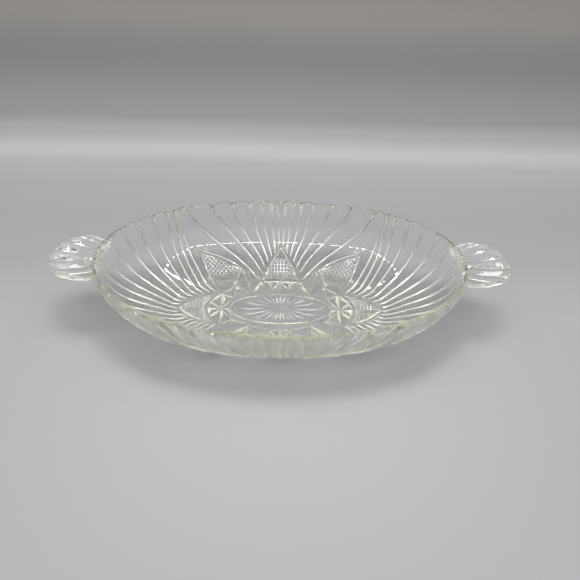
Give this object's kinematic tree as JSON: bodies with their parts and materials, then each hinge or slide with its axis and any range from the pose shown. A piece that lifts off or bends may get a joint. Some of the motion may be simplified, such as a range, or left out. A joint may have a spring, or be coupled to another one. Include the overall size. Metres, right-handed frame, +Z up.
{
  "type": "relish tray",
  "caption": "Shallow oval pressed-glass relish tray with fluted sides, a scalloped rim, a pattern of pointed arches and a shell handle at each end.",
  "frame": {"origin": "centre of the tray's underside, on the surface that it stands on", "axes": "+X along the tray to the right handle, +Y across it to the back, +Z up"},
  "size_m": [0.2462, 0.1206, 0.0394],
  "materials": {
    "pressed_glass": "clear fire-polished pressed glass with a faint straw tint where it is thick"
  },
  "bodies": {
    "root": {"centre_medallion": "pressed_glass", "star_border": "pressed_glass", "arch_band": "pressed_glass", "fluted_wall": "pressed_glass", "left_handle": "pressed_glass", "right_handle": "pressed_glass"}
  },
  "joints": []
}
